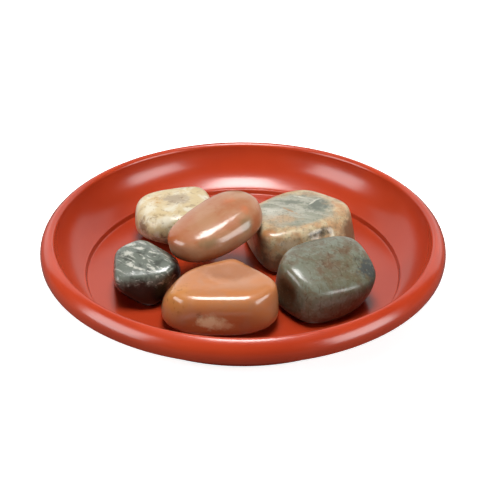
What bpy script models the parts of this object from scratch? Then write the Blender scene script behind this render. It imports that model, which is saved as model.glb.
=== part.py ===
"""Round plant saucer in moulded terracotta-red plastic, with six loose polished pebbles.

Metres, +Z up, saucer standing on z = 0 with its axis on the Z axis, front towards -Y.
The saucer is one moulding: a lathe-turned section about its axis. Each pebble is a
rounded block cut by a few flats, laid on the saucer's floor by rule, and its origin
is the point its lift-out line goes through.
"""

import math

import bmesh
import bpy
import numpy as np
from mathutils import Matrix, Vector
from mathutils.bvhtree import BVHTree

MM = 0.001

# Saucer, overall
OUTER_RADIUS = 100 * MM
HEIGHT = 26.6 * MM
WALL = 2.4 * MM
SCREW_STEPS = 72

# Saucer floor, the step at its edge and the foot it stands on
FLOOR_RADIUS = 78 * MM
FLOOR_TOP = 2.7 * MM
STEP_HEIGHT = 2.6 * MM
STEP_RUN = 0.8 * MM
SHOULDER_RUN = 0.5 * MM
FOOT_RADIUS = 81 * MM
FOOT_ROUND = 3.5 * MM
FOOT_RING_WIDTH = 4.5 * MM
FOOT_RECESS = 0.6 * MM

# Saucer wall: one arc that steepens from the shoulder to the lip
RIM_WIDTH = 7.3 * MM
LIP_RADIUS = OUTER_RADIUS - RIM_WIDTH
WALL_TURN = math.radians(62)

# Rolled rim: a tight crest on the lip runs into a full round that turns in at its foot
CREST_ROUND = 2.0 * MM
ROLL_ROUND = 8.4 * MM
ROLL_FOOT = math.radians(-13)
BAND_DEPTH = 10.5 * MM
BAND_THICKNESS = 2.6 * MM
BAND_DRAFT = 0.7 * MM
BAND_FOOT_INSET = 0.4 * MM
RIM_THICKNESS = 3.4 * MM

# Rounds of the saucer's corners, and the turn that one straight piece of a round takes
STEP_FOOT_ROUND = 0.7 * MM
STEP_TOP_ROUND = 0.6 * MM
BAND_EDGE_ROUND = 0.9 * MM
CHANNEL_ROUND = 0.7 * MM
CHANNEL_FILLET = 1.6 * MM
RECESS_ROUND = 0.3 * MM
RECESS_RUN = 0.8 * MM
ROUND_TURN = math.radians(20)
WALL_PIECES = 9
CREST_PIECES = 4
ROLL_PIECES = 5

# Fits
SEAT_GAP = 0.3 * MM
PEBBLE_GAP = 0.5 * MM
TOP_GAP = 0.35 * MM

# Pebbles: size is length, width and height. A flat is a bearing and a slope in degrees
# and a reach, on a block whose own six faces reach 1: a reach near 1.4 just takes an
# edge off. A higher edge number gives a tighter edge between the flats. Heading turns
# the pebble, and pitch raises its far end; bearing and distance from the saucer's axis
# place it.
PEBBLES = {
    "pebble_back_right": {
        "size": (54 * MM, 46 * MM, 25 * MM), "edge": 10, "heading": 12,
        "flats": [(250, 78, 0.97), (198, -6, 1.18), (125, 20, 1.12), (38, 18, 1.08),
                  (320, 16, 0.92), (276, 13, 0.94), (226, 2, 1.26)],
        "bearing": 29.4, "distance": 34.7 * MM, "colour": (0.36, 0.33, 0.24), "roughness": 0.28,
    },
    "pebble_back_left": {
        "size": (41 * MM, 36 * MM, 23 * MM), "edge": 5, "heading": 16,
        "flats": [(200, 35, 1.2), (235, 0, 1.2), (135, 0, 1.25), (320, 0, 1.2), (225, -42, 0.95)],
        "bearing": 141, "distance": 45 * MM, "colour": (0.66, 0.54, 0.34), "roughness": 0.42,
    },
    "pebble_front": {
        "size": (55 * MM, 40 * MM, 23 * MM), "edge": 12, "heading": 0,
        "flats": [(126, 14, 0.8), (165, 20, 0.9), (36, 10, 0.86), (270, 84, 0.92),
                  (270, 26, 1.1), (270, -6, 0.99), (218, 8, 1.1), (322, 8, 1.1), (215, -34, 1.3),
                  (325, -34, 1.3)],
        "bearing": 255.8, "distance": 44.2 * MM, "colour": (0.58, 0.24, 0.1), "roughness": 0.18,
    },
    "pebble_right": {
        "size": (46.5 * MM, 36 * MM, 27.5 * MM), "edge": 7.5, "heading": 24,
        "flats": [(292, 59, 0.78), (205, 0, 1.05), (300, 0, 1.2), (316, -18, 1.12),
                  (45, 10, 1.35), (250, 40, 1.12), (140, 10, 1.14)],
        "bearing": 321, "distance": 51 * MM, "colour": (0.27, 0.25, 0.17), "roughness": 0.22,
    },
    "pebble_left": {
        "size": (33 * MM, 33 * MM, 23 * MM), "edge": 10, "heading": 8,
        "flats": [(250, 68, 0.85), (175, 14, 0.95), (130, 30, 1), (28, 38, 0.86),
                  (318, -10, 0.9), (75, 20, 1.15), (215, -32, 1.05), (262, 14, 1)],
        "bearing": 205, "distance": 51 * MM, "colour": (0.16, 0.16, 0.145), "roughness": 0.32,
    },
    "pebble_top": {
        "size": (50 * MM, 31.5 * MM, 18.5 * MM), "edge": 4, "heading": 38, "pitch": 13,
        "flats": [(110, 0, 0.92), (45, 0, 1.13), (225, 0, 1.15), (315, 0, 1.35)],
        "bearing": 197.3, "distance": 14.1 * MM, "colour": (0.5, 0.26, 0.16), "roughness": 0.16,
    },
}
TOP_PEBBLE = "pebble_top"
PEBBLE_DETAIL = 4


def clear_scene():
    for obj in list(bpy.data.objects):
        bpy.data.objects.remove(obj, do_unlink=True)
    for group in list(bpy.data.collections):
        bpy.data.collections.remove(group)


def material(name, colour, roughness, metallic=0.0):
    mat = bpy.data.materials.new(name)
    mat.use_nodes = True
    shader = mat.node_tree.nodes["Principled BSDF"]
    shader.inputs["Base Color"].default_value = (*colour, 1.0)
    shader.inputs["Roughness"].default_value = roughness
    shader.inputs["Metallic"].default_value = metallic
    mat.diffuse_color = (*colour, 1.0)
    return mat


def smooth(obj, angle=35):
    obj.data.shade_smooth()
    obj.data.set_sharp_from_angle(angle=math.radians(angle))


def rounded(corners):
    """Points along a path of (r, z, round) corners, each corner rounded."""
    points = []
    for i, (r, z, radius) in enumerate(corners):
        here = Vector((r, z))
        if radius <= 0 or i in (0, len(corners) - 1):
            points.append(here)
            continue
        back = (Vector(corners[i - 1][:2]) - here).normalized()
        ahead = (Vector(corners[i + 1][:2]) - here).normalized()
        half = back.angle(ahead) / 2
        reach = radius / math.tan(half)
        centre = here + (back + ahead).normalized() * (radius / math.sin(half))
        start = here + back * reach - centre
        sweep = start.angle_signed(here + ahead * reach - centre)
        pieces = max(1, round(abs(sweep) / ROUND_TURN))
        for k in range(pieces + 1):
            turn = Matrix.Rotation(-sweep * k / pieces, 2)
            points.append(centre + turn @ start)
    return points


def wall_arc():
    """Centre, radius and end angles of the arc of the wall's inner face."""
    foot = Vector((FLOOR_RADIUS + STEP_RUN + SHOULDER_RUN, FLOOR_TOP + STEP_HEIGHT))
    lip = Vector((LIP_RADIUS, HEIGHT - CREST_ROUND))
    chord = lip - foot
    radius = chord.length / (2 * math.sin(WALL_TURN / 2))
    inward = Vector((-chord.y, chord.x)).normalized()
    centre = (foot + lip) / 2 + inward * radius * math.cos(WALL_TURN / 2)
    start = math.atan2(foot.y - centre.y, foot.x - centre.x)
    return centre, radius, start, start + WALL_TURN


def arc_points(centre, radius, start, end, pieces):
    return [
        centre + radius * Vector((math.cos(a), math.sin(a)))
        for a in (start + (end - start) * k / pieces for k in range(pieces + 1))
    ]


def saucer_section():
    """The closed half section, from the middle of the floor round to the underside."""
    centre, radius, low, high = wall_arc()
    shoulder = FLOOR_RADIUS + STEP_RUN
    step_top = FLOOR_TOP + STEP_HEIGHT
    inner = arc_points(centre, radius, low, high, WALL_PIECES)
    floor = rounded([
        (0, FLOOR_TOP, 0),
        (FLOOR_RADIUS, FLOOR_TOP, STEP_FOOT_ROUND),
        (shoulder, step_top, STEP_TOP_ROUND),
        (inner[0].x, inner[0].y, 0),
    ])
    band_low = HEIGHT - BAND_DEPTH
    band_inner = OUTER_RADIUS - BAND_THICKNESS
    outer_radius = radius + WALL
    rim_under = HEIGHT - RIM_THICKNESS
    meet = math.asin((rim_under - CHANNEL_FILLET - centre.y) / outer_radius)
    outer_top = centre + outer_radius * Vector((math.cos(meet), math.sin(meet)))
    crest_centre = Vector((LIP_RADIUS + CREST_ROUND, HEIGHT - CREST_ROUND))
    apart = crest_centre.x - (OUTER_RADIUS - ROLL_ROUND)
    lean = math.acos(apart / (ROLL_ROUND - CREST_ROUND))
    roll_centre = crest_centre - (ROLL_ROUND - CREST_ROUND) * Vector((math.cos(lean), math.sin(lean)))
    crest = arc_points(crest_centre, CREST_ROUND, math.pi, math.pi / 2, CREST_PIECES)
    crest += arc_points(crest_centre, CREST_ROUND, math.pi / 2, lean, 2)[1:]
    roll = arc_points(roll_centre, ROLL_ROUND, lean, 0, ROLL_PIECES)
    roll += arc_points(roll_centre, ROLL_ROUND, 0, ROLL_FOOT, 2)[1:]
    band = rounded([
        (roll[-1].x, roll[-1].y, 0),
        (roll[-1].x - BAND_FOOT_INSET, band_low, BAND_EDGE_ROUND),
        (band_inner, band_low, BAND_EDGE_ROUND),
        (band_inner - BAND_DRAFT, rim_under, CHANNEL_ROUND),
        (outer_top.x, rim_under, CHANNEL_ROUND),
        (outer_top.x, outer_top.y, 0),
    ])
    foot_angle = -math.acos((FOOT_RADIUS - centre.x) / outer_radius)
    outer = arc_points(centre, outer_radius, meet, foot_angle, WALL_PIECES)
    ring_inner = FOOT_RADIUS - FOOT_ROUND - FOOT_RING_WIDTH
    under = rounded([
        (outer[-1].x, outer[-1].y, 0),
        (FOOT_RADIUS, 0, FOOT_ROUND),
        (ring_inner, 0, RECESS_ROUND),
        (ring_inner - RECESS_RUN, FOOT_RECESS, RECESS_ROUND),
        (0, FOOT_RECESS, 0),
    ])
    return floor + inner[1:-1] + crest + roll[1:] + band[1:] + outer[1:] + under[1:]


def build_saucer(group):
    points = saucer_section()
    mesh = bpy.data.meshes.new("saucer")
    verts = [(p.x, 0, p.y) for p in points]
    mesh.from_pydata(verts, [(i, i + 1) for i in range(len(verts) - 1)], [])
    obj = bpy.data.objects.new("saucer", mesh)
    group.objects.link(obj)
    obj.data.materials.append(material("saucer_plastic", (0.56, 0.075, 0.03), 0.2))
    turn = obj.modifiers.new("Turn", "SCREW")
    turn.axis = "Z"
    turn.angle = math.tau
    turn.steps = SCREW_STEPS
    turn.render_steps = SCREW_STEPS
    turn.use_merge_vertices = True
    turn.merge_threshold = 0.00002
    turn.use_normal_calculate = True
    return obj


def heading_of(bearing, slope=0.0):
    a, e = math.radians(bearing), math.radians(slope)
    return Vector((math.cos(a) * math.cos(e), math.sin(a) * math.cos(e), math.sin(e)))


def pebble_points(spec, directions):
    """Surface points of a rounded block: a smooth blend of its flats."""
    block = [(0, 0, 1), (90, 0, 1), (180, 0, 1), (270, 0, 1), (0, 90, 1), (0, -90, 1)]
    total = np.zeros(len(directions))
    for bearing, slope, reach in block + spec["flats"]:
        facing = directions @ np.array(heading_of(bearing, slope))
        total += np.maximum(0, facing / reach) ** spec["edge"]
    points = directions / (total ** (1 / spec["edge"]))[:, None]
    low, high = points.min(axis=0), points.max(axis=0)
    return (points - (low + high) / 2) / (high - low) * np.array(spec["size"])


def build_pebble(name, spec, group):
    mesh = bpy.data.meshes.new(name)
    ball = bmesh.new()
    bmesh.ops.create_icosphere(ball, subdivisions=PEBBLE_DETAIL, radius=1.0)
    directions = np.array([v.co.normalized() for v in ball.verts])
    lean = Matrix.Rotation(math.radians(-spec.get("pitch", 0)), 3, "Y")
    turn = Matrix.Rotation(math.radians(spec["heading"]), 3, "Z") @ lean
    for vert, point in zip(ball.verts, pebble_points(spec, directions)):
        vert.co = turn @ Vector(point)
    bmesh.ops.recalc_face_normals(ball, faces=ball.faces)
    ball.to_mesh(mesh)
    ball.free()
    obj = bpy.data.objects.new(name, mesh)
    group.objects.link(obj)
    obj.data.materials.append(material(name + "_stone", spec["colour"], spec["roughness"]))
    smooth(obj, 60)
    return obj


def tree_of(obj):
    verts = [obj.location + v.co for v in obj.data.vertices]
    faces = [tuple(p.vertices) for p in obj.data.polygons]
    return verts, BVHTree.FromPolygons(verts, faces)


def clearance(obj, others):
    """Least distance from a pebble to the pebbles already laid."""
    verts, tree = tree_of(obj)
    best = 1.0
    for other_verts, other_tree in others:
        best = min(best, min(other_tree.find_nearest(v)[3] for v in verts))
        best = min(best, min(tree.find_nearest(v)[3] for v in other_verts))
    return best


def approach(obj, direction, travel, gap, others):
    """Move a pebble along a line until it is a gap away or has gone its travel."""
    gone = 0.0
    while others and gone < travel:
        stride = min(clearance(obj, others) - gap, travel - gone)
        if stride < 0.00001:
            return
        obj.location += direction * stride
        gone += stride
    if not others:
        obj.location += direction * travel


def lay_pebbles(group):
    laid = []
    start = OUTER_RADIUS * 1.5
    for name, spec in PEBBLES.items():
        pebble = build_pebble(name, spec, group)
        lowest = min(v.co.z for v in pebble.data.vertices)
        out = heading_of(spec["bearing"])
        if name == TOP_PEBBLE:
            pebble.location = out * spec["distance"] + Vector((0, 0, OUTER_RADIUS))
            fall = OUTER_RADIUS + lowest - FLOOR_TOP - SEAT_GAP
            approach(pebble, Vector((0, 0, -1)), fall, TOP_GAP, laid)
        else:
            pebble.location = out * start + Vector((0, 0, FLOOR_TOP + SEAT_GAP - lowest))
            approach(pebble, -out, start - spec["distance"], PEBBLE_GAP, laid)
        laid.append(tree_of(pebble))


def main():
    clear_scene()
    group = bpy.data.collections.new("plant_saucer")
    bpy.context.scene.collection.children.link(group)
    saucer = build_saucer(group)
    smooth(saucer, 40)
    lay_pebbles(group)


main()
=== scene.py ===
"""Round plant saucer holding six tumbled river pebbles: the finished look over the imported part.

Metres, +Z up, the saucer's axis on Z, its front towards -Y. The dish is turned and the
pebbles are rounded blocks, at the part's own sizes; the stone and plastic are shader nodes.
"""
import math

import bmesh
import bpy
import numpy as np
from mathutils import Matrix, Vector, noise


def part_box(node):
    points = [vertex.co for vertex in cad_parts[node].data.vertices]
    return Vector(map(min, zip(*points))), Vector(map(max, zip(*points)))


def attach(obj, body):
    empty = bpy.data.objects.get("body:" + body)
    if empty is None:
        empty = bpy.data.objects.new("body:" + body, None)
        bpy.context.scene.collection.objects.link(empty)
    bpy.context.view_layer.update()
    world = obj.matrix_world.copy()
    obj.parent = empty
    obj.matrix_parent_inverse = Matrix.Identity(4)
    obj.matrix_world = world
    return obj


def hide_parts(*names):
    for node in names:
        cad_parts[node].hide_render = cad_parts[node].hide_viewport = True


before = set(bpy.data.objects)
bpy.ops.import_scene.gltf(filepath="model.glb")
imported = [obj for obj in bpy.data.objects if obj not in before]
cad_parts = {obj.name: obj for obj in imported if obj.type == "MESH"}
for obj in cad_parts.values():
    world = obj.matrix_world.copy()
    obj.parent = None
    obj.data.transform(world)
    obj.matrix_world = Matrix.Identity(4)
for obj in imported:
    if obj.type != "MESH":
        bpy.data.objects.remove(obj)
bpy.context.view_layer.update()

bl_info = {
    "name": "Plant Saucer with Pebbles",
    "version": (1, 0, 0),
    "blender": (4, 5, 0),
    "location": "View3D > Sidebar > Saucer",
    "description": "Glossy terracotta-red plant saucer holding six tumbled river pebbles",
    "category": "Object",
}

MM = 0.001
DISH_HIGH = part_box("saucer")[1]

# The camera: the point it looks at, its distance, lens and sensor width in mm, and its rise
# in degrees.
CAMERA_TARGET = (-1.45, 0, 19.2)
CAMERA_DISTANCE = 597
CAMERA_RISE = 30.8
CAMERA_LENS = 90
CAMERA_SENSOR = 36

# The studio: the floor's side in metres and the point that the lights face in mm. The
# lights: name, bearing and rise in degrees, distance, width and height in metres, and the
# stage setting that holds the power.
FLOOR_SIDE = 8
LIGHT_TARGET = (0, 0, 15)
SOFTBOXES = (
    ("Left softbox", 203, 18, 0.8, 0.5, 0.5, "side_power"),
    ("Right softbox", 331, 14, 0.8, 0.5, 0.46, "side_power"),
    ("Overhead softbox", 270, 88, 0.8, 0.28, 0.42, "top_power"),
    ("Overhead glow", 270, 89, 0.85, 0.95, 0.95, "glow_power"),
    ("Left back card", 122, 22, 1.1, 1.15, 1.0, "back_power"),
    ("Right back card", 58, 22, 1.1, 1.15, 1.0, "back_power"),
)

# The pebbles' shapes. Size is length, width and height in mm. A flat is a bearing and a
# slope in degrees and a reach, on a block whose own six faces reach 1. A higher edge
# number gives a tighter edge, and pitch raises the far end. A dent is a centre, a radius
# and a depth in mm, from the pebble's middle.
STONES = {
    "pebble_top": {
        "size": (50, 31.5, 18.5), "edge": 3.6, "heading": 38, "pitch": 13,
        "flats": [(110, 0, 0.92), (45, 0, 1.13), (225, 0, 1.15), (315, 0, 1.35), (278, 52, 1),
                  (90, 75, 1.02)],
        "dents": [],
    },
    "pebble_front": {
        "size": (55, 40, 23), "edge": 12, "heading": 0,
        "flats": [(126, 14, 0.8), (165, 20, 0.9), (36, 10, 0.86), (270, 84, 0.92),
                  (270, 26, 1.1), (270, -6, 0.99), (218, 8, 1.1), (322, 8, 1.1), (215, -34, 1.3),
                  (325, -34, 1.3)],
        "dents": [((5, 7, 12), 15, 0.7)],
    },
    "pebble_right": {
        "size": (46.5, 36, 27.5), "edge": 7.5, "heading": 24,
        "flats": [(292, 59, 0.78), (205, 0, 1.05), (300, 0, 1.2), (316, -18, 1.12),
                  (45, 10, 1.35), (250, 40, 1.12), (140, 10, 1.14)],
        "dents": [((-20, -14, 1), 12, 1.3), ((12, -8, 11), 6, 0.4)],
    },
    "pebble_left": {
        "size": (33, 33, 23), "edge": 10, "heading": 8,
        "flats": [(250, 68, 0.85), (175, 6, 1), (125, 30, 1.12), (28, 38, 0.86),
                  (318, -10, 0.9), (75, 20, 1.2), (215, -32, 1.05), (262, 14, 1)],
        "dents": [((4, -5, 11), 6, 0.5), ((-6, 3, 12), 5, 0.4), ((-4, -16, 0), 6, 0.5)],
    },
    "pebble_back_left": {
        "size": (41, 36, 23), "edge": 5, "heading": 16,
        "flats": [(200, 35, 1.2), (235, 0, 1.2), (135, 0, 1.25), (320, 0, 1.2), (225, -42, 0.95)],
        "dents": [((4, 3, 12), 7, 0.4)],
    },
    "pebble_back_right": {
        "size": (54, 46, 25), "edge": 10, "heading": 12,
        "flats": [(250, 78, 0.97), (198, -6, 1.18), (125, 20, 1.12), (38, 18, 1.08),
                  (320, 16, 0.92), (276, 13, 0.94), (226, 2, 1.26)],
        "dents": [((10, -19, 7), 8, 1.6), ((-4, -25, 2), 9, 0.7)],
    },
}


def paint(red, green, blue):
    """A colour as mixed on a 0 to 255 chart, as light the shader uses."""
    return tuple(((c / 255 + 0.055) / 1.055) ** 2.4 if c > 10 else c / 255 / 12.92
                 for c in (red, green, blue))


def colour_setting(name, description, default):
    return bpy.props.FloatVectorProperty(
        name=name, description=description, default=default, subtype="COLOR", size=3, min=0, max=1)


def number_setting(name, description, default, **more):
    return bpy.props.FloatProperty(
        name=name, description=description, default=default, min=0, **more)


def length_setting(name, description, default):
    return number_setting(
        name, description, default, unit="LENGTH", subtype="DISTANCE", precision=5)


def power_setting(name, description, default):
    return number_setting(name, description, default, unit="POWER")


def settings_of(kind, name, description):
    return bpy.props.PointerProperty(type=kind, name=name, description=description)


class DishSettings(bpy.types.PropertyGroup):
    plastic: colour_setting("Plastic", "Moulded terracotta-red plastic", paint(149, 48, 22))
    deep: colour_setting("Deep plastic", "Redder where the melt ran thicker", paint(138, 41, 18))
    outer_radius: length_setting("Outer radius", "Radius over the rolled rim", DISH_HIGH.x)
    height: length_setting("Height", "Height over the rolled rim", DISH_HIGH.z)
    floor_radius: length_setting("Floor radius", "Radius of the sunk flat floor", 78 * MM)
    lip_radius: length_setting("Lip radius", "Radius of the wall's upper edge", 92.7 * MM)
    steps: bpy.props.IntProperty(
        name="Turning steps", description="Steps of the turned dish", default=256, min=72)


class PebbleSettings(bpy.types.PropertyGroup):
    detail: bpy.props.IntProperty(
        name="Detail", description="Subdivisions of each pebble", default=6, min=3, max=8)
    waviness: length_setting("Waviness", "Depth of the waves that tumbling leaves", 0.16 * MM)


class TopPebbleSettings(bpy.types.PropertyGroup):
    tan: colour_setting("Tan", "Body of the stone", paint(136, 99, 73))
    rose: colour_setting("Rose", "Pinkish clouds", paint(132, 84, 58))
    rust: colour_setting("Rust", "Orange-brown ends and underside", paint(126, 68, 38))
    flush: colour_setting("Flush", "Orange-red spots", paint(152, 84, 48))
    grey: colour_setting("Grey", "Grey-beige patches", paint(106, 87, 62))


class FrontPebbleSettings(bpy.types.PropertyGroup):
    rust: colour_setting("Rust", "Body of the stone", paint(147, 93, 55))
    honey: colour_setting("Honey", "Yellow-orange end", paint(152, 102, 52))
    # Rose also paints the overhead glow's pinkish reflection on the top, just behind the front
    # edge.
    rose: colour_setting("Rose", "Pinkish shoulder", paint(142, 96, 66))
    # Brick also paints the red glow that the dish reflects onto the underside.
    brick: colour_setting("Brick", "Redder underside", paint(138, 74, 38))
    tawny: colour_setting("Tawny", "Orange-brown top at the back", paint(120, 68, 28))
    pale: colour_setting("Pale", "Grey-beige window", paint(190, 176, 140))
    stain: colour_setting("Stain", "Dark ochre stains and flecks", paint(110, 66, 32))


class RightPebbleSettings(bpy.types.PropertyGroup):
    olive: colour_setting("Olive", "Body of the stone", paint(78, 76, 60))
    sage: colour_setting("Sage", "Greyer green parts", paint(88, 91, 78))
    # Umber also paints the shade on the left face, where it looks into the dark gap.
    umber: colour_setting("Umber", "Brown clouds", paint(78, 58, 40))
    slate: colour_setting("Slate", "Blue-grey end", paint(54, 57, 55))
    ash: colour_setting("Ash", "Pale grains", paint(108, 106, 92))
    bark: colour_setting("Bark", "Dark brown side", paint(58, 41, 27))


class LeftPebbleSettings(bpy.types.PropertyGroup):
    slate: colour_setting("Slate", "Body of the stone", paint(82, 86, 78))
    # Char also paints the shadow that the top pebble casts on this pebble's right end.
    char: colour_setting("Char", "Darkest parts", paint(26, 24, 21))
    milk: colour_setting("Milk", "White streaks", paint(154, 153, 143))
    rust: colour_setting("Rust", "Brown stain low on the side", paint(66, 44, 35))


class BackLeftPebbleSettings(bpy.types.PropertyGroup):
    cream: colour_setting("Cream", "Body of the stone", paint(160, 143, 108))
    chalk: colour_setting("Chalk", "White parts", paint(170, 162, 142))
    ochre: colour_setting("Ochre", "Ochre flecks", paint(150, 112, 60))
    clay: colour_setting("Clay", "Grey-brown stains", paint(106, 85, 63))
    ash: colour_setting("Ash", "Grey-tan cloud", paint(132, 117, 95))


class BackRightPebbleSettings(bpy.types.PropertyGroup):
    sage: colour_setting("Sage", "Grey-green top", paint(108, 108, 93))
    moss: colour_setting("Moss", "Dark grey-green blotches", paint(76, 80, 69))
    chalk: colour_setting("Chalk", "White streaks", paint(152, 149, 136))
    peach: colour_setting("Peach", "Cream-orange border", paint(152, 121, 88))
    cream: colour_setting("Cream", "Cream clouds in the border", paint(156, 142, 112))
    amber: colour_setting("Amber", "Orange seams", paint(140, 95, 56))
    umber: colour_setting("Umber", "Brown sides", paint(96, 72, 51))
    olive: colour_setting("Olive", "Dark hollow in the front", paint(56, 47, 31))
    sand: colour_setting("Sand", "Light tan on the front", paint(172, 153, 125))


class StageSettings(bpy.types.PropertyGroup):
    floor: colour_setting("Floor", "Pale floor", (0.80, 0.80, 0.80))
    bounce: number_setting(
        "Bounce", "Share of the floor's paleness that its reflected light keeps", 0.08,
        max=1, subtype="FACTOR")
    lift: number_setting(
        "Lift", "How far the floor's shadows are lit up, as by a light table", 0.85)
    room: colour_setting("Room", "Light from the room", (1.0, 1.0, 1.0))
    room_level: number_setting("Room level", "Strength of the light from the room", 0.025)
    side_power: power_setting("Side softboxes", "Power of each side softbox", 6.6)
    top_power: power_setting("Overhead softbox", "Power of the overhead softbox", 10.0)
    glow_power: power_setting(
        "Overhead glow", "Power of the wide panel behind the overhead softbox", 1.3)
    back_power: power_setting("Back cards", "Power of each card behind the saucer", 4.4)


class SaucerLook(bpy.types.PropertyGroup):
    dish: settings_of(DishSettings, "Dish", "The moulded saucer")
    pebbles: settings_of(PebbleSettings, "Pebbles", "All pebbles")
    top: settings_of(TopPebbleSettings, "Top pebble", "Pinkish brown")
    front: settings_of(FrontPebbleSettings, "Front pebble", "Orange brown")
    right: settings_of(RightPebbleSettings, "Right pebble", "Grey green")
    left: settings_of(LeftPebbleSettings, "Left pebble", "Dark grey")
    back_left: settings_of(BackLeftPebbleSettings, "Back left pebble", "Cream")
    back_right: settings_of(BackRightPebbleSettings, "Back right pebble", "Banded")
    stage: settings_of(StageSettings, "Stage", "Floor, lights and camera")


# Shader building


def put(tree, kind, inputs=None, **settings):
    """Adds a node. An input is a plain value or another node's socket."""
    made = tree.nodes.new(kind)
    for key, value in settings.items():
        setattr(made, key, value)
    for key, value in (inputs or {}).items():
        if isinstance(value, bpy.types.NodeSocket):
            tree.links.new(value, made.inputs[key])
        else:
            made.inputs[key].default_value = value
    return made


def figure(tree, operation, a, b=0.0, c=0.0):
    """Arithmetic on single values."""
    return put(tree, "ShaderNodeMath", {0: a, 1: b, 2: c}, operation=operation).outputs[0]


def vector(tree, operation, a, b):
    """Arithmetic on vectors."""
    return put(tree, "ShaderNodeVectorMath", {0: a, 1: b}, operation=operation).outputs[0]


def scaled(tree, a, scale):
    """A vector times a single value."""
    return put(tree, "ShaderNodeVectorMath", {0: a, "Scale": scale}, operation="SCALE").outputs[0]


def turned(tree, a, rotation):
    """A vector turned about all three axes."""
    return put(tree, "ShaderNodeVectorRotate", {"Vector": a, "Rotation": rotation},
               rotation_type="EULER_XYZ").outputs[0]


def noise_at(tree, where, scale, detail, roughness=0.5, distortion=0.0):
    """Soft noise round 0.5. Scale is the inverse of its size in mm."""
    return put(tree, "ShaderNodeTexNoise", {
        "Vector": where, "Scale": scale, "Detail": detail, "Roughness": roughness,
        "Distortion": distortion}).outputs[0]


def ramp_between(tree, value, low, high, bottom=0.0, top=1.0):
    """Eases from bottom to top as value goes from low to high."""
    return put(tree, "ShaderNodeMapRange", {
        "Value": value, "From Min": low, "From Max": high, "To Min": bottom, "To Max": top,
    }, interpolation_type="SMOOTHSTEP").outputs[0]


def mix(tree, under, over, mask):
    """One colour over another through a mask."""
    return put(tree, "ShaderNodeMix", {0: mask, 6: under, 7: over}, data_type="RGBA").outputs[2]


def group_tree(name, inputs, outputs):
    """A new node group with its sockets, and its inner input and output nodes."""
    tree = bpy.data.node_groups.new(name, "ShaderNodeTree")
    for label, kind, default in inputs:
        socket = tree.interface.new_socket(label, in_out="INPUT", socket_type=kind)
        if default is not None:
            socket.default_value = default
    for label in outputs:
        tree.interface.new_socket(label, in_out="OUTPUT", socket_type="NodeSocketFloat")
    entry = tree.nodes.new("NodeGroupInput")
    leave = tree.nodes.new("NodeGroupOutput")
    return tree, entry.outputs, leave.inputs


def use(tree, build, inputs):
    """Places a shared group in a material, building it the first time."""
    name = build.__name__.replace("_", " ").title()
    group = bpy.data.node_groups.get(name) or build(name)
    return put(tree, "ShaderNodeGroup", inputs, node_tree=group).outputs


VECTOR = "NodeSocketVector"
FLOAT = "NodeSocketFloat"


def ragged_patch(name):
    """A patch round a centre, turned about Z, with a ragged edge. All lengths in mm."""
    tree, given, out = group_tree(name, [
        ("Where", VECTOR, None), ("Centre", VECTOR, (0, 0, 0)), ("Reach", VECTOR, (5, 5, 5)),
        ("Turn", FLOAT, 0.0), ("Edge", FLOAT, 0.4), ("Ragged", FLOAT, 0.6),
        ("Grain", FLOAT, 4.0), ("Amount", FLOAT, 1.0),
    ], ["Mask"])
    offset = vector(tree, "SUBTRACT", given["Where"], given["Centre"])
    along = put(tree, "ShaderNodeVectorRotate", {"Vector": offset, "Angle": given["Turn"]},
                rotation_type="Z_AXIS").outputs[0]
    even = vector(tree, "DIVIDE", along, given["Reach"])
    reach = put(tree, "ShaderNodeVectorMath", {0: even}, operation="LENGTH").outputs["Value"]
    scale = figure(tree, "DIVIDE", 1.0, given["Grain"])
    cloud = figure(tree, "SUBTRACT", noise_at(tree, given["Where"], scale, 4.0, 0.62), 0.5)
    pushed = figure(tree, "ADD", reach, figure(tree, "MULTIPLY", cloud, given["Ragged"]))
    mask = ramp_between(tree, pushed, 1.0, figure(tree, "SUBTRACT", 1.0, given["Edge"]))
    tree.links.new(figure(tree, "MULTIPLY", mask, given["Amount"]), out["Mask"])
    return tree


def stone_clouds(name):
    """Cloudy colour in the stone, drawn out along the turned X axis by the stretch."""
    tree, given, out = group_tree(name, [
        ("Where", VECTOR, None), ("Turn", VECTOR, (0, 0, 0)), ("Stretch", VECTOR, (1, 1, 1)),
        ("Size", FLOAT, 8.0), ("Twist", FLOAT, 0.5), ("Level", FLOAT, 0.5), ("Edge", FLOAT, 0.1),
        ("Seed", FLOAT, 0.0),
    ], ["Mask"])
    along = turned(tree, given["Where"], given["Turn"])
    drawn = vector(tree, "DIVIDE", along, given["Stretch"])
    sized = scaled(tree, drawn, figure(tree, "DIVIDE", 1.0, given["Size"]))
    seed = scaled(tree, (17.3, 31.7, 53.1), given["Seed"])
    cloud = noise_at(tree, vector(tree, "ADD", sized, seed), 1.0, 6.0, 0.58, given["Twist"])
    low = figure(tree, "SUBTRACT", given["Level"], given["Edge"])
    high = figure(tree, "ADD", given["Level"], given["Edge"])
    tree.links.new(ramp_between(tree, cloud, low, high), out["Mask"])
    return tree


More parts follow.
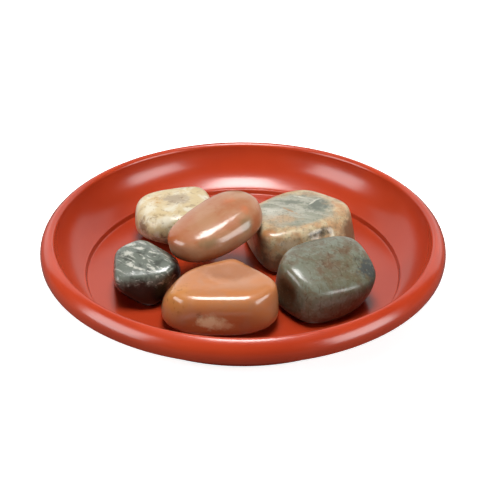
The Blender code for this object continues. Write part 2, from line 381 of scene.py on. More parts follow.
def vein_lines(name):
    """Thin wandering veins across the turned X axis, broken here and there."""
    tree, given, out = group_tree(name, [
        ("Where", VECTOR, None), ("Turn", VECTOR, (0, 0, 0)), ("Spacing", FLOAT, 8.0),
        ("Wander", FLOAT, 3.0), ("Width", FLOAT, 0.1), ("Breaks", FLOAT, 0.5),
        ("Seed", FLOAT, 0.0),
    ], ["Mask"])
    half, fade = 0.5, 0.08
    seed = scaled(tree, (7.9, 13.3, 29.1), given["Seed"])
    place = vector(tree, "ADD", turned(tree, given["Where"], given["Turn"]), seed)
    across = put(tree, "ShaderNodeSeparateXYZ", {0: place}).outputs["X"]
    drift = figure(tree, "SUBTRACT", noise_at(tree, place, 0.12, 3.0), half)
    wandered = figure(tree, "MULTIPLY_ADD", drift, given["Wander"], across)
    saw = figure(tree, "PINGPONG", figure(tree, "DIVIDE", wandered, given["Spacing"]), half)
    line = ramp_between(tree, saw, given["Width"], 0.0)
    low = figure(tree, "SUBTRACT", given["Breaks"], fade)
    high = figure(tree, "ADD", given["Breaks"], fade)
    kept = ramp_between(tree, noise_at(tree, place, 0.22, 2.0), low, high)
    tree.links.new(figure(tree, "MULTIPLY", line, kept), out["Mask"])
    return tree


def stone_cells(tree, where, scale):
    """Cells of an even size: each cell's own random number, and the distance from its middle."""
    cells = put(tree, "ShaderNodeTexVoronoi", {"Vector": where, "Scale": scale, "Randomness": 1.0})
    parts = put(tree, "ShaderNodeSeparateColor", {0: cells.outputs["Color"]})
    return parts.outputs[0], cells.outputs["Distance"]


def mineral_grains(name):
    """Single grains, each picked or not."""
    tree, given, out = group_tree(name, [
        ("Where", VECTOR, None), ("Size", FLOAT, 1.0), ("Share", FLOAT, 0.3),
        ("Softness", FLOAT, 0.3),
    ], ["Mask"])
    grain_edge = 0.75
    scale = figure(tree, "DIVIDE", 1.0, given["Size"])
    wobble = put(tree, "ShaderNodeTexNoise", {
        "Vector": given["Where"], "Scale": scale, "Detail": 2.0}).outputs["Color"]
    bent = vector(tree, "ADD", given["Where"], scaled(tree, wobble, given["Size"]))
    number, distance = stone_cells(tree, bent, scale)
    picked = figure(tree, "LESS_THAN", number, given["Share"])
    inner = figure(tree, "SUBTRACT", grain_edge, given["Softness"])
    core = ramp_between(tree, distance, grain_edge, inner)
    tree.links.new(figure(tree, "MULTIPLY", picked, core), out["Mask"])
    return tree


def tumbled_skin(name):
    """Surface of a tumbled stone: the height of its pits and waves, and where it is duller."""
    tree, given, out = group_tree(name, [
        ("Where", VECTOR, None), ("Pit Size", FLOAT, 1.2), ("Pits", FLOAT, 0.2),
        ("Scuffs", FLOAT, 0.3),
    ], ["Height", "Dullness"])
    pit_depth, grain_height, wave_height, pit_dullness = 0.5, 0.08, 0.35, 0.8
    scale = figure(tree, "DIVIDE", 1.0, given["Pit Size"])
    number, distance = stone_cells(tree, given["Where"], scale)
    chosen = figure(tree, "LESS_THAN", number, given["Pits"])
    pit = figure(tree, "MULTIPLY", ramp_between(tree, distance, 0.45, 0.1), chosen)
    fine = noise_at(tree, given["Where"], 2.6, 5.0, 0.65)
    wave = noise_at(tree, given["Where"], 0.22, 2.0)
    grain = figure(tree, "MULTIPLY", fine, grain_height)
    pitted = figure(tree, "MULTIPLY_ADD", pit, -pit_depth, grain)
    tree.links.new(figure(tree, "MULTIPLY_ADD", wave, wave_height, pitted), out["Height"])
    scuff = figure(tree, "MULTIPLY", ramp_between(tree, fine, 0.42, 0.72), given["Scuffs"])
    dull = figure(tree, "MAXIMUM", figure(tree, "MULTIPLY", pit, pit_dullness), scuff)
    tree.links.new(dull, out["Dullness"])
    return tree


def hairline_scratches(name):
    """Faint straight scratches from handling, in two directions."""
    tree, given, out = group_tree(name, [
        ("Where", VECTOR, None), ("Length", FLOAT, 30.0), ("Gap", FLOAT, 0.5),
        ("Amount", FLOAT, 0.3),
    ], ["Mask"])
    along = figure(tree, "DIVIDE", 1.0, given["Length"])
    across = figure(tree, "DIVIDE", 1.0, given["Gap"])
    sides = put(tree, "ShaderNodeCombineXYZ", {0: along, 1: across, 2: across}).outputs[0]
    masks = []
    for turn in (0.5, 1.9):
        drawn = vector(tree, "MULTIPLY", turned(tree, given["Where"], (0.2, 0.3, turn)), sides)
        lines = noise_at(tree, drawn, 1.0, 1.0, distortion=0.1)
        masks.append(ramp_between(tree, lines, 0.70, 0.78))
    both = figure(tree, "MAXIMUM", *masks)
    tree.links.new(figure(tree, "MULTIPLY", both, given["Amount"]), out["Mask"])
    return tree


class Layers:
    """A new material with its shader, whose colour is laid down layer by layer.

    Places and lengths are in mm, from the piece's own origin.
    """

    def __init__(self, name, base):
        self.finish = bpy.data.materials.new(name)
        self.finish.use_nodes = True
        self.tree = self.finish.node_tree
        self.shader = self.tree.nodes["Principled BSDF"]
        place = self.tree.nodes.new("ShaderNodeTexCoord").outputs["Object"]
        self.where = scaled(self.tree, place, 1 / MM)
        self.colour = (*base, 1)

    def lay(self, tint, mask, share=1.0):
        """Lays a tint over the colour so far, through a mask or through a share of it."""
        if share < 1:
            mask = figure(self.tree, "MULTIPLY", mask, share)
        self.colour = mix(self.tree, self.colour, (*tint, 1), mask)

    def patch(self, centre, reach, edge=0.6, ragged=1.2, grain=3.0, turn=0.0, amount=1.0):
        """A ragged patch. Edge is how far in it fades, ragged and grain shape its border."""
        return use(self.tree, ragged_patch, {
            "Where": self.where, "Centre": centre, "Reach": reach, "Turn": -math.radians(turn),
            "Edge": edge, "Ragged": ragged, "Grain": grain, "Amount": amount})["Mask"]

    def clouds(self, size, level=0.5, edge=0.1, seed=0.0, turn=(0, 0, 0), stretch=(1, 1, 1),
               twist=0.5):
        """Clouds of a size in mm. A higher level leaves fewer of them."""
        return use(self.tree, stone_clouds, {
            "Where": self.where, "Turn": turn, "Stretch": stretch, "Size": size,
            "Twist": twist, "Level": level, "Edge": edge, "Seed": seed})["Mask"]

    def grains(self, size, share, amount):
        """Single grains of a size in mm, picked by their share."""
        mask = use(self.tree, mineral_grains, {
            "Where": self.where, "Size": size, "Share": share, "Softness": 0.35})["Mask"]
        return figure(self.tree, "MULTIPLY", mask, amount)

    def veins(self, turn, spacing, wander, width, breaks, seed):
        """Thin veins. Width is a share of the spacing, and turn is about Z in radians."""
        return use(self.tree, vein_lines, {
            "Where": self.where, "Turn": (0, 0, turn), "Spacing": spacing, "Wander": wander,
            "Width": width, "Breaks": breaks, "Seed": seed})["Mask"]

    def scratches(self, length, gap, amount):
        """Hairline scratches. More gap spreads them wider."""
        return use(self.tree, hairline_scratches, {
            "Where": self.where, "Length": length, "Gap": gap, "Amount": amount})["Mask"]

    def relief(self, height, distance):
        """Joins a height to the shader as relief, with the distance in mm."""
        bump = put(self.tree, "ShaderNodeBump", {
            "Height": height, "Distance": distance * MM, "Strength": 0.6})
        self.tree.links.new(bump.outputs[0], self.shader.inputs["Normal"])

    def tumble(self, polish, body, pits, pit_size, scuffs, bump, coat=0.8, sheen=0.06,
               matte=0.0):
        """Joins the colour and a tumbled skin to the shader.

        Polish is the skin's roughness and body the stone's. Coat is how much skin there
        is, and matte is a mask of where it is worn off.
        """
        tree, shader = self.tree, self.shader
        wear_roughness, wear_through = 0.4, 0.9
        skin = use(tree, tumbled_skin, {
            "Where": self.where, "Pit Size": pit_size, "Pits": pits, "Scuffs": scuffs})
        scratched = self.scratches(length=9.0, gap=0.35, amount=0.35)
        tree.links.new(self.colour, shader.inputs["Base Color"])
        worn = figure(tree, "MAXIMUM", skin["Dullness"], scratched)
        dull = figure(tree, "MAXIMUM", worn, matte)
        rough = figure(tree, "MULTIPLY_ADD", dull, wear_roughness, body)
        tree.links.new(rough, shader.inputs["Roughness"])
        kept = figure(tree, "MULTIPLY_ADD", dull, -wear_through * coat, coat)
        tree.links.new(kept, shader.inputs["Coat Weight"])
        self.relief(skin["Height"], bump)
        shader.inputs["IOR"].default_value = 1.5
        shader.inputs["Specular IOR Level"].default_value = sheen
        shader.inputs["Coat Roughness"].default_value = polish
        return self.finish


def dish_plastic(look):
    """Gloss plastic with a faint grain and ripple from the mould, and hairline scratches."""
    dish = Layers("saucer_gloss_plastic", look.plastic)
    tree, shader = dish.tree, dish.shader
    gloss, scratch_roughness, grain_roughness = 0.19, 0.25, 0.06
    grain_height, ripple_depth = 0.05, 0.02
    flow = noise_at(tree, dish.where, 0.02, 3.0)
    fine = noise_at(tree, dish.where, 3.0, 3.0, 0.6)
    ripple = noise_at(tree, dish.where, 0.25, 2.0)
    dish.lay(look.deep, ramp_between(tree, flow, 0.35, 0.7))
    tree.links.new(dish.colour, shader.inputs["Base Color"])
    scratches = dish.scratches(length=60.0, gap=0.9, amount=0.06)
    scratched = figure(tree, "MULTIPLY_ADD", scratches, scratch_roughness, gloss)
    rough = figure(tree, "MULTIPLY_ADD", fine, grain_roughness, scratched)
    tree.links.new(rough, shader.inputs["Roughness"])
    dish.relief(figure(tree, "MULTIPLY_ADD", fine, grain_height, ripple), ripple_depth)
    shader.inputs["IOR"].default_value = 1.5
    shader.inputs["Specular IOR Level"].default_value = 0.42
    return dish.finish


def top_stone(look):
    """Tan with pinkish clouds, rust at the ends and underneath, and a few orange-red spots."""
    stone = Layers("pebble_top_polished_stone", look.tan)
    stone.lay(look.rose, stone.clouds(13, 0.5, 0.16, 1.0))
    stone.lay(look.rust, stone.clouds(4, 0.6, 0.1, 1.4), 0.3)
    stone.lay(look.tan, stone.patch((-5, -9, 8), (12, 8, 6), 0.9, 0.8, 6))
    stone.lay(look.rust, stone.patch((-22, -13, 0), (9, 9, 7), 0.9, 1.2, 5))
    stone.lay(look.rust, stone.patch((0, -17, -9), (30, 12, 7.5), 0.7, 0.8, 6))
    stone.lay(look.rust, stone.patch((20, -2, 2), (5, 9, 8), 0.8, 1.0, 5, amount=0.8))
    stone.lay(look.grey, stone.patch((-3, -20, 1.5), (9, 5, 4), 0.9, 1.4, 4, turn=30, amount=0.8))
    stone.lay(look.grey, stone.patch((16, -7, 6), (6, 5, 6), 0.9, 1.2, 4, turn=30))
    stone.lay(look.flush, stone.patch((14.5, -1, 11), (3.5, 4, 4), 0.9, 1.4, 2.5, amount=0.8))
    stone.lay(look.flush, stone.patch((9, -10.9, 7.9), (2.2, 2.2, 2.4), 0.9, 1.2, 2))
    stone.lay(look.flush, stone.patch((7, 6, 11.5), (6, 4, 4), 1.0, 1.6, 3, amount=0.5))
    return stone.tumble(polish=0.16, body=0.36, pits=0.02, pit_size=1.5, scuffs=0.15, bump=0.15)


def front_stone(look):
    """Orange brown, yellower to the left, with a pale window low on the front; painted reflections
    of the overhead glow behind the top's front edge and of the red dish underneath.
    """
    stone = Layers("pebble_front_polished_stone", look.rust)
    stone.lay(look.rose, stone.clouds(11, 0.55, 0.14, 2.0))
    # Painted reflection: the pinkish sheen of the overhead glow on the top, just behind the front
    # edge.
    stone.lay(look.rose, stone.patch((8, -8, 9), (19, 6, 5), 0.8, 0.8, 5))
    stone.lay(look.stain, stone.patch((0, 0.5, 11), (6, 4, 4), 1.0, 1.0, 3, amount=0.5))
    stone.lay(look.tawny, stone.patch((4, 4, 11), (18, 10, 6), 0.6, 0.7, 6), 0.75)
    honey = stone.patch((-19, -12, 6), (13, 11, 8), 0.9, 0.9, 6)
    stone.lay(look.honey, honey)
    stone.lay(look.stain, figure(stone.tree, "MULTIPLY", stone.grains(1.3, 0.16, 0.8), honey))
    # Painted reflection: the underside made redder for the red glow that the dish throws onto it.
    stone.lay(look.brick, stone.patch((4, -12, -13), (36, 20, 10), 0.7, 0.8, 6))
    stone.lay(look.brick, stone.patch((7, -20, 0), (9, 5, 6), 0.9, 1.0, 4, amount=0.4))
    stone.lay(look.stain, stone.patch((-9, -19, 2), (2, 3, 3.4), 0.9, 2.0, 2))
    stone.lay(look.pale, stone.patch((-4, -20, -2), (8.6, 5, 5.4), 0.7, 1.2, 3))
    stone.lay(look.pale, stone.patch((3, -20, -4), (5, 4, 3), 0.7, 1.6, 2.5, amount=0.5))
    stone.lay(look.stain, stone.patch((1, -7.4, 9), (5.5, 0.35, 3), 0.9, 0.6, 3, amount=0.7))
    stone.lay(look.stain, stone.patch((22.6, -11, 5.4), (0.7, 0.7, 0.7), 0.5, 0.5, 1))
    return stone.tumble(polish=0.15, body=0.36, pits=0.02, pit_size=1.4, scuffs=0.12, bump=0.12)


def right_stone(look):
    """Grey green with brown clouds and fine cracks, its right end broken and dull, and painted
    shade on its left face.
    """
    stone = Layers("pebble_right_mottled_stone", look.olive)
    stone.lay(look.sage, stone.clouds(6, 0.52, 0.1, 3.0))
    stone.lay(look.umber, stone.clouds(4.5, 0.54, 0.1, 3.3), 0.55)
    stone.lay(look.sage, stone.patch((-10, -11, 8), (8, 9, 12), 0.7, 1.0, 4, amount=0.8))
    brown_clouds = (
        ((2.4, 0.9, 12.2), (3.5, 3, 3)), ((1, -5, 11), (3.5, 4, 3)), ((10, 7, 12), (8, 3, 3)),
        ((-3, -10, 10), (3, 3, 3)))
    for centre, reach in brown_clouds:
        stone.lay(look.umber, stone.patch(centre, reach, 0.8, 2.6, 1.8, 20, 0.7))
    stone.lay(look.umber, stone.patch((4, -6, 11), (11, 10, 8), 0.9, 1.6, 3, amount=0.5))
    stone.lay(look.sage, stone.patch((-2, -19, 1), (14, 6, 6), 0.8, 1.4, 3, amount=0.7))
    stone.lay(look.slate, stone.patch((21, -1, 6), (9, 10, 9), 0.8, 2.0, 2.5))
    cracks = stone.veins(turn=-0.5, spacing=5.0, wander=7.0, width=0.07, breaks=0.5, seed=1.0)
    stone.lay(look.bark, cracks, 0.6)
    # Painted shade: the left face, which looks down into the dark gap by the front pebble, is
    # darkened to umber.
    stone.lay(look.umber, stone.patch((-20, -12, 0), (9, 9, 10), 0.4, 0.6, 5))
    stone.lay(look.bark, stone.patch((0, -18, -14), (30, 20, 8), 0.7, 1.0, 4, amount=0.7))
    stone.lay(look.ash, stone.grains(1.1, 0.2, 0.22))
    stone.lay(look.bark, stone.grains(1.2, 0.12, 0.35))
    broken = stone.patch((16, -3, 5), (17, 14, 14), 0.5, 1.2, 4, 20)
    return stone.tumble(polish=0.25, body=0.4, pits=0.06, pit_size=1.2, scuffs=0.25, bump=0.25,
                        matte=broken)


def left_stone(look):
    """Dark grey with white streaks, nearly black low down, and a painted shadow darkening its right
    end, where the top pebble shades it.
    """
    stone = Layers("pebble_left_streaked_stone", look.slate)
    stone.lay(look.char, stone.clouds(5, 0.58, 0.1, 4.0), 0.6)
    stone.lay(look.rust, stone.patch((-14, -2, 2), (4, 14, 8), 0.6, 1.0, 3))
    hairs = stone.clouds(1.6, 0.6, 0.06, 5.0, turn=(0, 0, 0.65), stretch=(4, 1, 1), twist=0.3)
    stone.lay(look.milk, hairs, 0.7)
    stone.lay(look.char, stone.patch((-1, -17, -5), (28, 9, 10.5), 0.45, 1.0, 3))
    # Painted shadow: the right end, which the top pebble shades, is darkened to char.
    stone.lay(look.char, stone.patch((17, -5, 5), (7, 11, 8), 0.5, 1.0, 3))
    white_streaks = (
        ((-7.7, 6.3, 10), (4.5, 2, 4), 0), ((-3, 3, 11), (3.5, 1.2, 3), -15),
        ((-8, -0.7, 10), (3.5, 2.6, 4), 0), ((-6.5, -8, 8.5), (3.4, 2, 3), -35),
        ((-2.7, -10.5, 7.5), (4, 1, 3), -25), ((4.4, -0.6, 11), (3.2, 0.9, 3), -15),
        ((4, -10.8, 7.6), (3, 0.9, 3), -25), ((13, -9, 3), (2.5, 1.2, 2), 30),
        ((6.8, -14.5, 2.5), (5, 1.2, 1.4), 0), ((-0.2, -4.4, 9.7), (0.9, 0.9, 1), 0))
    for centre, reach, turn in white_streaks:
        stone.lay(look.milk, stone.patch(centre, reach, 0.7, 2.2, 1.5, turn, 0.85))
    return stone.tumble(polish=0.2, body=0.4, pits=0.1, pit_size=1.3, scuffs=0.3, bump=0.35)


def back_left_stone(look):
    """Cream with chalky parts, grey-brown stains and ochre flecks."""
    stone = Layers("pebble_back_left_cream_stone", look.cream)
    stone.lay(look.chalk, stone.clouds(7, 0.54, 0.1, 6.0))
    stone.lay(look.ash, stone.patch((1, 1, 11.4), (10, 7, 4), 0.7, 1.8, 4))
    stone.lay(look.chalk, stone.patch((-12, -7, 9), (6, 5, 5), 0.8, 1.4, 3))
    stone.lay(look.chalk, stone.patch((-4, -17, 8), (6, 4, 4), 0.8, 1.6, 2.5))
    stone.lay(look.clay, stone.clouds(3, 0.6, 0.07, 7.0), 0.5)
    stone.lay(look.clay, stone.patch((-16, -14, 3), (5, 7, 6), 0.8, 1.8, 3))
    stone.lay(look.clay, stone.patch((-6, -19, -5), (18, 6, 7), 0.8, 2.4, 2.5))
    stone.lay(look.clay, stone.patch((3.8, 2.8, 11.5), (1.3, 1.1, 1.5), 0.8, 1.0, 1))
    corner = stone.patch((-9, 0, 11), (5, 6, 4), 0.9, 1.0, 3)
    stone.lay(look.ochre, figure(stone.tree, "MULTIPLY", corner, stone.grains(1.4, 0.4, 0.9)))
    stone.lay(look.ochre, corner, 0.25)
    return stone.tumble(polish=0.2, body=0.45, pits=0.15, pit_size=1.0, scuffs=0.4, bump=0.3,
                        coat=0.5, sheen=0.2)


def back_right_stone(look):
    """A grey-green top inside a cream and orange border, over brown sides."""
    stone = Layers("pebble_back_right_banded_stone", look.peach)
    stone.lay(look.cream, stone.clouds(4.5, 0.5, 0.12, 8.6))
    stone.lay(look.umber, stone.clouds(5, 0.54, 0.16, 8.0), 0.55)
    border = stone.colour
    stone.colour = (*look.sage, 1)
    streaked = stone.clouds(3.5, 0.5, 0.1, 8.3, turn=(0, 0, 0.25), stretch=(4, 1, 1))
    stone.lay(look.chalk, streaked, 0.5)
    stone.lay(look.moss, stone.patch((9.5, 4, 12), (10, 7.5, 5), 0.7, 1.6, 2.5, 30))
    stone.lay(look.moss, stone.patch((-5, 6, 12), (8, 4, 5), 0.8, 2.2, 2.5, 0, 0.7))
    stone.lay(look.moss, stone.patch((4, 14, 12), (12, 4, 5), 0.9, 1.8, 3, 0, 0.5))
    white_streaks = (
        ((-1, 11.8, 12.5), (4, 0.9, 3), -25), ((5.8, 5.5, 12.3), (4.5, 0.9, 3), 50),
        ((8.5, 8.5, 12.4), (3, 0.8, 3), 35), ((-15, -2, 11.8), (9, 1.6, 3), 5))
    for centre, reach, turn in white_streaks:
        stone.lay(look.chalk, stone.patch(centre, reach, 0.9, 1.6, 2, turn))
    stone.lay(look.peach, stone.patch((-10, -9, 12), (13, 7, 4), 0.9, 1.6, 3, 0, 0.7))
    stone.lay(look.chalk, stone.patch((-16, -3, 12), (9, 7, 4), 0.9, 1.4, 4, 0, 0.8))
    stone.lay(look.amber, stone.patch((-6, -1.5, 12), (6, 1, 3), 0.9, 1.6, 2, -40, 0.8))
    inside = stone.patch((-3, -1, 12), (22, 18, 6), 0.3, 0.6, 6, 12)
    stone.colour = mix(stone.tree, border, stone.colour, inside)
    stone.lay(look.amber, stone.patch((20, 0, 11), (3.5, 12, 5), 0.9, 2.0, 2, 10), 0.6)
    stone.lay(look.amber, stone.patch((-17, -20, 9), (6, 4, 3), 0.8, 1.2, 3))
    stone.lay(look.umber, stone.patch((-6, -24, -8), (26, 9, 10), 0.5, 0.9, 4))
    stone.lay(look.sand, stone.patch((-5, -24, 4), (9, 4, 4.5), 0.8, 1.4, 3))
    stone.lay(look.chalk, stone.patch((-9, -25, 5.4), (4, 3, 2), 0.8, 1.6, 2, 0, 0.7))
    stone.lay(look.umber, stone.patch((25, -5, 1), (6, 16, 8), 0.5, 1.2, 4))
    stone.lay(look.olive, stone.patch((9.7, -18, 7.8), (9, 4, 3.8), 0.6, 1.4, 3, 25))
    stone.lay(look.moss, stone.grains(0.9, 0.14, 0.35))
    return stone.tumble(polish=0.16, body=0.42, pits=0.1, pit_size=1.2, scuffs=0.3, bump=0.3,
                        coat=0.6, sheen=0.15)


# Shapes


def rounded(corners, turn=math.radians(5)):
    """Points along a path of (r, z, round) corners, each corner rounded."""
    points = []
    for i, (r, z, radius) in enumerate(corners):
        here = Vector((r, z))
        if radius <= 0 or i in (0, len(corners) - 1):
            points.append(here)
            continue
        back = (Vector(corners[i - 1][:2]) - here).normalized()
        ahead = (Vector(corners[i + 1][:2]) - here).normalized()
        half = back.angle(ahead) / 2
        reach = radius / math.tan(half)
        centre = here + (back + ahead).normalized() * (radius / math.sin(half))
        start = here + back * reach - centre
        sweep = start.angle_signed(here + ahead * reach - centre)
        pieces = max(2, round(abs(sweep) / turn))
        for k in range(pieces + 1):
            points.append(centre + Matrix.Rotation(-sweep * k / pieces, 2) @ start)
    return points


def toward(angle):
    """The way that an angle in radians points in the section."""
    return Vector((math.cos(angle), math.sin(angle)))


def arc_points(centre, radius, start, end, pieces):
    steps = [start + (end - start) * k / pieces for k in range(pieces + 1)]
    return [centre + radius * toward(angle) for angle in steps]


def dish_section(look):
    """The closed half section in mm, from the middle of the floor round to the underside."""
    outer, high = look.outer_radius / MM, look.height / MM
    floor_radius, lip = look.floor_radius / MM, look.lip_radius / MM
    floor_top, step_top, step_run, ledge, wall = 2.7, 5.3, 0.8, 1.3, 2.4
    wall_sweep, roll_end = math.radians(62), math.radians(-13)
    crest_round, roll_round = 2.0, 8.4
    under_rim, skirt_low, wall_join = high - 3.4, high - 10.5, high - 5.0
    skirt_outside, skirt_inside, skirt_lean = outer - 2.6, outer - 3.3, 0.4
    foot_outer, foot_inner, recess_edge, recess_high = 81, 73, 72.2, 0.6

    wall_low = Vector((floor_radius + ledge, step_top))
    wall_high = Vector((lip, high - crest_round))
    chord = wall_high - wall_low
    radius = chord.length / (2 * math.sin(wall_sweep / 2))
    sideways = Vector((-chord.y, chord.x)).normalized()
    centre = (wall_low + wall_high) / 2 + sideways * radius * math.cos(wall_sweep / 2)
    start = math.atan2(wall_low.y - centre.y, wall_low.x - centre.x)
    inner = arc_points(centre, radius, start, start + wall_sweep, 28)
    floor = rounded([
        (0, floor_top, 0), (floor_radius, floor_top, 0.7), (floor_radius + step_run, step_top, 0.6),
        (*inner[0], 0)])

    crest_centre = Vector((lip + crest_round, high - crest_round))
    lean = math.acos((crest_centre.x - outer + roll_round) / (roll_round - crest_round))
    roll_centre = crest_centre - (roll_round - crest_round) * toward(lean)
    crest = arc_points(crest_centre, crest_round, math.pi, math.pi / 2, 14)
    crest += arc_points(crest_centre, crest_round, math.pi / 2, lean, 6)[1:]
    roll = arc_points(roll_centre, roll_round, lean, 0, 20)
    roll += arc_points(roll_centre, roll_round, 0, roll_end, 4)[1:]

    meet = math.asin((wall_join - centre.y) / (radius + wall))
    outer_top = centre + (radius + wall) * toward(meet)
    skirt = rounded([
        (*roll[-1], 0), (roll[-1].x - skirt_lean, skirt_low, 0.9), (skirt_outside, skirt_low, 0.9),
        (skirt_inside, under_rim, 0.7), (outer_top.x, under_rim, 0.7), (*outer_top, 0)])
    foot_angle = -math.acos((foot_outer - centre.x) / (radius + wall))
    outside = arc_points(centre, radius + wall, meet, foot_angle, 20)
    under = rounded([
        (*outside[-1], 0), (foot_outer, 0, 3.5), (foot_inner, 0, 0.3),
        (recess_edge, recess_high, 0.3), (0, recess_high, 0)])
    return floor + inner[1:-1] + crest + roll[1:] + skirt[1:] + outside[1:] + under[1:]


def make_dish(look):
    """The dish: its section turned about Z."""
    mesh = bpy.data.meshes.new("dish_section")
    verts = [(p.x * MM, 0, p.y * MM) for p in dish_section(look)]
    mesh.from_pydata(verts, [(i, i + 1) for i in range(len(verts) - 1)], [])
    dish = bpy.data.objects.new("saucer_dish", mesh)
    bpy.context.scene.collection.objects.link(dish)
    turn = dish.modifiers.new("Turn", "SCREW")
    turn.axis = "Z"
    turn.angle = math.tau
    turn.steps = turn.render_steps = look.steps
    turn.use_merge_vertices = True
    turn.merge_threshold = 0.01 * MM
    turn.use_normal_calculate = True
    seen = dish.evaluated_get(bpy.context.evaluated_depsgraph_get())
    dish.data = bpy.data.meshes.new_from_object(seen)
    dish.modifiers.clear()
    bpy.data.meshes.remove(mesh)
    dish.data.shade_smooth()
    return dish


def heading_of(bearing, slope=0.0):
    """The way that a bearing and a slope in degrees point. A bearing of 0 is +X."""
    a, e = math.radians(bearing), math.radians(slope)
    return np.array((math.cos(a) * math.cos(e), math.sin(a) * math.cos(e), math.sin(e)))


def stone_surface(spec, directions):
    """Surface points in mm of a rounded block: a smooth blend of its flats."""
    block = [(bearing, 0, 1) for bearing in (0, 90, 180, 270)] + [(0, 90, 1), (0, -90, 1)]
    total = np.zeros(len(directions))
    for bearing, slope, reach in block + spec["flats"]:
        total += np.maximum(0, directions @ heading_of(bearing, slope) / reach) ** spec["edge"]
    points = directions / (total ** (1 / spec["edge"]))[:, None]
    low, high = points.min(axis=0), points.max(axis=0)
    return (points - (low + high) / 2) / (high - low) * np.array(spec["size"])


def make_pebble(node, look):
    """A pebble at its CAD node's place, turned to its heading, its middle as its origin."""
    spec = STONES[node]
    wave_size, falloff, finer, waves = 9, 0.8, 2.1, 3
    ball = bmesh.new()
    bmesh.ops.create_icosphere(ball, subdivisions=look.detail, radius=1.0)
    directions = np.array([v.co.normalized() for v in ball.verts])
    lean = Matrix.Rotation(math.radians(-spec.get("pitch", 0)), 3, "Y")
    turn = Matrix.Rotation(math.radians(spec["heading"]), 3, "Z") @ lean
    points = stone_surface(spec, directions) @ np.array(turn.transposed())
    points -= (points.min(axis=0) + points.max(axis=0)) / 2
    seed = Vector((len(node) * 3.1, sum(spec["size"]), spec["heading"]))
    for vert, point, way in zip(ball.verts, points, directions):
        place = Vector(point)
        wave = noise.fractal(place / wave_size + seed, falloff, finer, waves)
        sunk = look.waviness / MM * (0.5 + 0.5 * wave)
        for centre, radius, depth in spec["dents"]:
            away = (place - Vector(centre)).length / radius
            sunk += depth * max(0.0, 1 - away * away) ** 2
        vert.co = (place - turn @ Vector(way) * sunk) * MM
    bmesh.ops.recalc_face_normals(ball, faces=ball.faces)
    mesh = bpy.data.meshes.new(node + "_stone")
    ball.to_mesh(mesh)
    ball.free()
    mesh.shade_smooth()
    pebble = bpy.data.objects.new(node + "_stone", mesh)
    bpy.context.scene.collection.objects.link(pebble)
    low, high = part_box(node)
    pebble.location = (low + high) / 2
    return pebble


def seat(piece, node, body, finish):
    """Gives a piece its finish, and lets it stand for its CAD node."""
    piece.data.materials.clear()
    piece.data.materials.append(finish)
    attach(piece, body)
    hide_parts(node)


def add_pebble(context, body, make_finish):
    node = "pebble_" + body
    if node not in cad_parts:
        raise RuntimeError("no packed node named " + node)
    look = context.scene.saucer_look
    seat(make_pebble(node, look.pebbles), node, body, make_finish(getattr(look, body)))
    return {"FINISHED"}


class SAUCER_OT_dish(bpy.types.Operator):
    """Build the moulded saucer"""
    bl_idname = "saucer.dish"
    bl_label = "Dish"

    def execute(self, context):
        look = context.scene.saucer_look.dish
        seat(make_dish(look), "saucer", "saucer", dish_plastic(look))
        return {"FINISHED"}


class SAUCER_OT_top_pebble(bpy.types.Operator):
    """Build the pinkish-brown pebble that lies on the others"""
    bl_idname = "saucer.top_pebble"
    bl_label = "Top pebble"

    def execute(self, context):
        return add_pebble(context, "top", top_stone)


class SAUCER_OT_front_pebble(bpy.types.Operator):
    """Build the orange-brown pebble at the front"""
    bl_idname = "saucer.front_pebble"
    bl_label = "Front pebble"

    def execute(self, context):
        return add_pebble(context, "front", front_stone)


class SAUCER_OT_right_pebble(bpy.types.Operator):
    """Build the mottled grey-green pebble on the right"""
    bl_idname = "saucer.right_pebble"
    bl_label = "Right pebble"

    def execute(self, context):
        return add_pebble(context, "right", right_stone)


class SAUCER_OT_left_pebble(bpy.types.Operator):
    """Build the dark streaked pebble on the left"""
    bl_idname = "saucer.left_pebble"
    bl_label = "Left pebble"

    def execute(self, context):
        return add_pebble(context, "left", left_stone)


class SAUCER_OT_back_left_pebble(bpy.types.Operator):
    """Build the cream pebble at the back"""
    bl_idname = "saucer.back_left_pebble"
    bl_label = "Back left pebble"

    def execute(self, context):
        return add_pebble(context, "back_left", back_left_stone)


class SAUCER_OT_back_right_pebble(bpy.types.Operator):
    """Build the banded pebble at the back"""
    bl_idname = "saucer.back_right_pebble"
    bl_label = "Back right pebble"

    def execute(self, context):
        return add_pebble(context, "back_right", back_right_stone)


def aim(thing, target):
    """Turns a light or the camera to a point."""
    way = target - thing.location
    thing.rotation_euler = way.to_track_quat("-Z", "Y").to_euler()


def softbox(name, bearing, rise, away, width, height, power):
    """A soft light panel that faces the pebbles and isn't itself in the picture."""
    target = Vector(LIGHT_TARGET) * MM
    light = bpy.data.lights.new(name, "AREA")
    light.shape = "RECTANGLE"
    light.size, light.size_y = width, height
    light.energy = power
    panel = bpy.data.objects.new(name, light)
    bpy.context.scene.collection.objects.link(panel)
    panel.location = Vector(heading_of(bearing, rise)) * away + target
    aim(panel, target)
    panel.visible_camera = False


def floor_finish(look):
    """Paper that the camera sees pale and evenly lit, and that throws little light back."""
    paper = Layers("stage_floor_paper", look.floor)
    tree, shader = paper.tree, paper.shader
    fibre_tone, fibre_share = 0.9, 0.08
    fibre = ramp_between(tree, noise_at(tree, paper.where, 0.6, 4.0), 0.3, 0.7, 0.0, fibre_share)
    paper.lay([c * fibre_tone for c in look.floor], fibre)
    seen = tree.nodes.new("ShaderNodeLightPath").outputs["Is Camera Ray"]
    bounced = (*(c * look.bounce for c in look.floor), 1)
    tree.links.new(mix(tree, bounced, paper.colour, seen), shader.inputs["Base Color"])
    lit = mix(tree, (0, 0, 0, 1), (*look.floor, 1), seen)
    tree.links.new(lit, shader.inputs["Emission Color"])
    shader.inputs["Emission Strength"].default_value = look.lift
    shader.inputs["Roughness"].default_value = 0.9
    return paper.finish


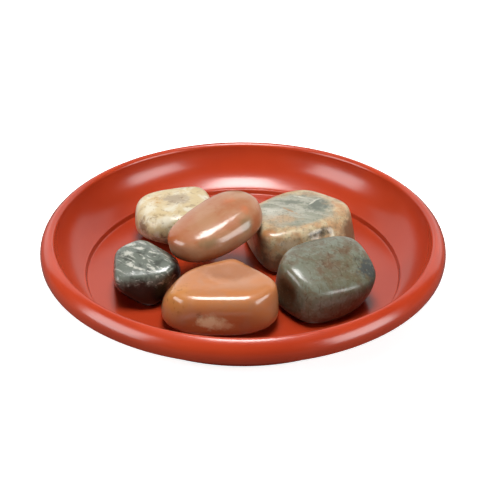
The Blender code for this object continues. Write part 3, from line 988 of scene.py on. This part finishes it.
class SAUCER_OT_stage(bpy.types.Operator):
    """Lay the pale floor and set the studio lights and the camera"""
    bl_idname = "saucer.stage"
    bl_label = "Stage"

    def execute(self, context):
        scene = context.scene
        look = scene.saucer_look.stage
        bpy.ops.mesh.primitive_plane_add(size=FLOOR_SIDE)
        floor = context.active_object
        floor.name = "stage_floor"
        floor.data.materials.append(floor_finish(look))

        for name, bearing, rise, away, width, height, power in SOFTBOXES:
            softbox(name, bearing, rise, away, width, height, getattr(look, power))

        world = bpy.data.worlds.new("Studio")
        world.use_nodes = True
        world.node_tree.nodes["Background"].inputs["Color"].default_value = (*look.room, 1)
        world.node_tree.nodes["Background"].inputs["Strength"].default_value = look.room_level
        scene.world = world
        scene.view_settings.view_transform = "Standard"

        lens = bpy.data.cameras.new("Camera")
        lens.lens = CAMERA_LENS
        lens.sensor_width = CAMERA_SENSOR
        lens.clip_start = 20 * MM
        camera = bpy.data.objects.new("Camera", lens)
        scene.collection.objects.link(camera)
        target = Vector(CAMERA_TARGET) * MM
        camera.location = target + Vector(heading_of(270, CAMERA_RISE)) * CAMERA_DISTANCE * MM
        aim(camera, target)
        scene.camera = camera
        return {"FINISHED"}


BUILDERS = (
    SAUCER_OT_dish, SAUCER_OT_top_pebble, SAUCER_OT_front_pebble, SAUCER_OT_right_pebble,
    SAUCER_OT_left_pebble, SAUCER_OT_back_left_pebble, SAUCER_OT_back_right_pebble, SAUCER_OT_stage,
)


class SAUCER_PT_panel(bpy.types.Panel):
    bl_idname = "SAUCER_PT_panel"
    bl_label = "Plant saucer"
    bl_space_type = "VIEW_3D"
    bl_region_type = "UI"
    bl_category = "Saucer"

    def draw(self, context):
        look = context.scene.saucer_look
        for builder in BUILDERS:
            self.layout.operator(builder.bl_idname)
        for name in SaucerLook.__annotations__:
            part = getattr(look, name)
            box = self.layout.box()
            for key in part.__annotations__:
                box.prop(part, key)


CLASSES = (
    DishSettings, PebbleSettings, TopPebbleSettings, FrontPebbleSettings, RightPebbleSettings,
    LeftPebbleSettings, BackLeftPebbleSettings, BackRightPebbleSettings, StageSettings, SaucerLook,
    *BUILDERS, SAUCER_PT_panel,
)


def register():
    for cls in CLASSES:
        bpy.utils.register_class(cls)
    bpy.types.Scene.saucer_look = bpy.props.PointerProperty(type=SaucerLook)


def unregister():
    del bpy.types.Scene.saucer_look
    for cls in reversed(CLASSES):
        bpy.utils.unregister_class(cls)


def main():
    register()
    for builder in BUILDERS:
        family, action = builder.bl_idname.split(".")
        getattr(getattr(bpy.ops, family), action)()


if __name__ == "__main__":
    main()
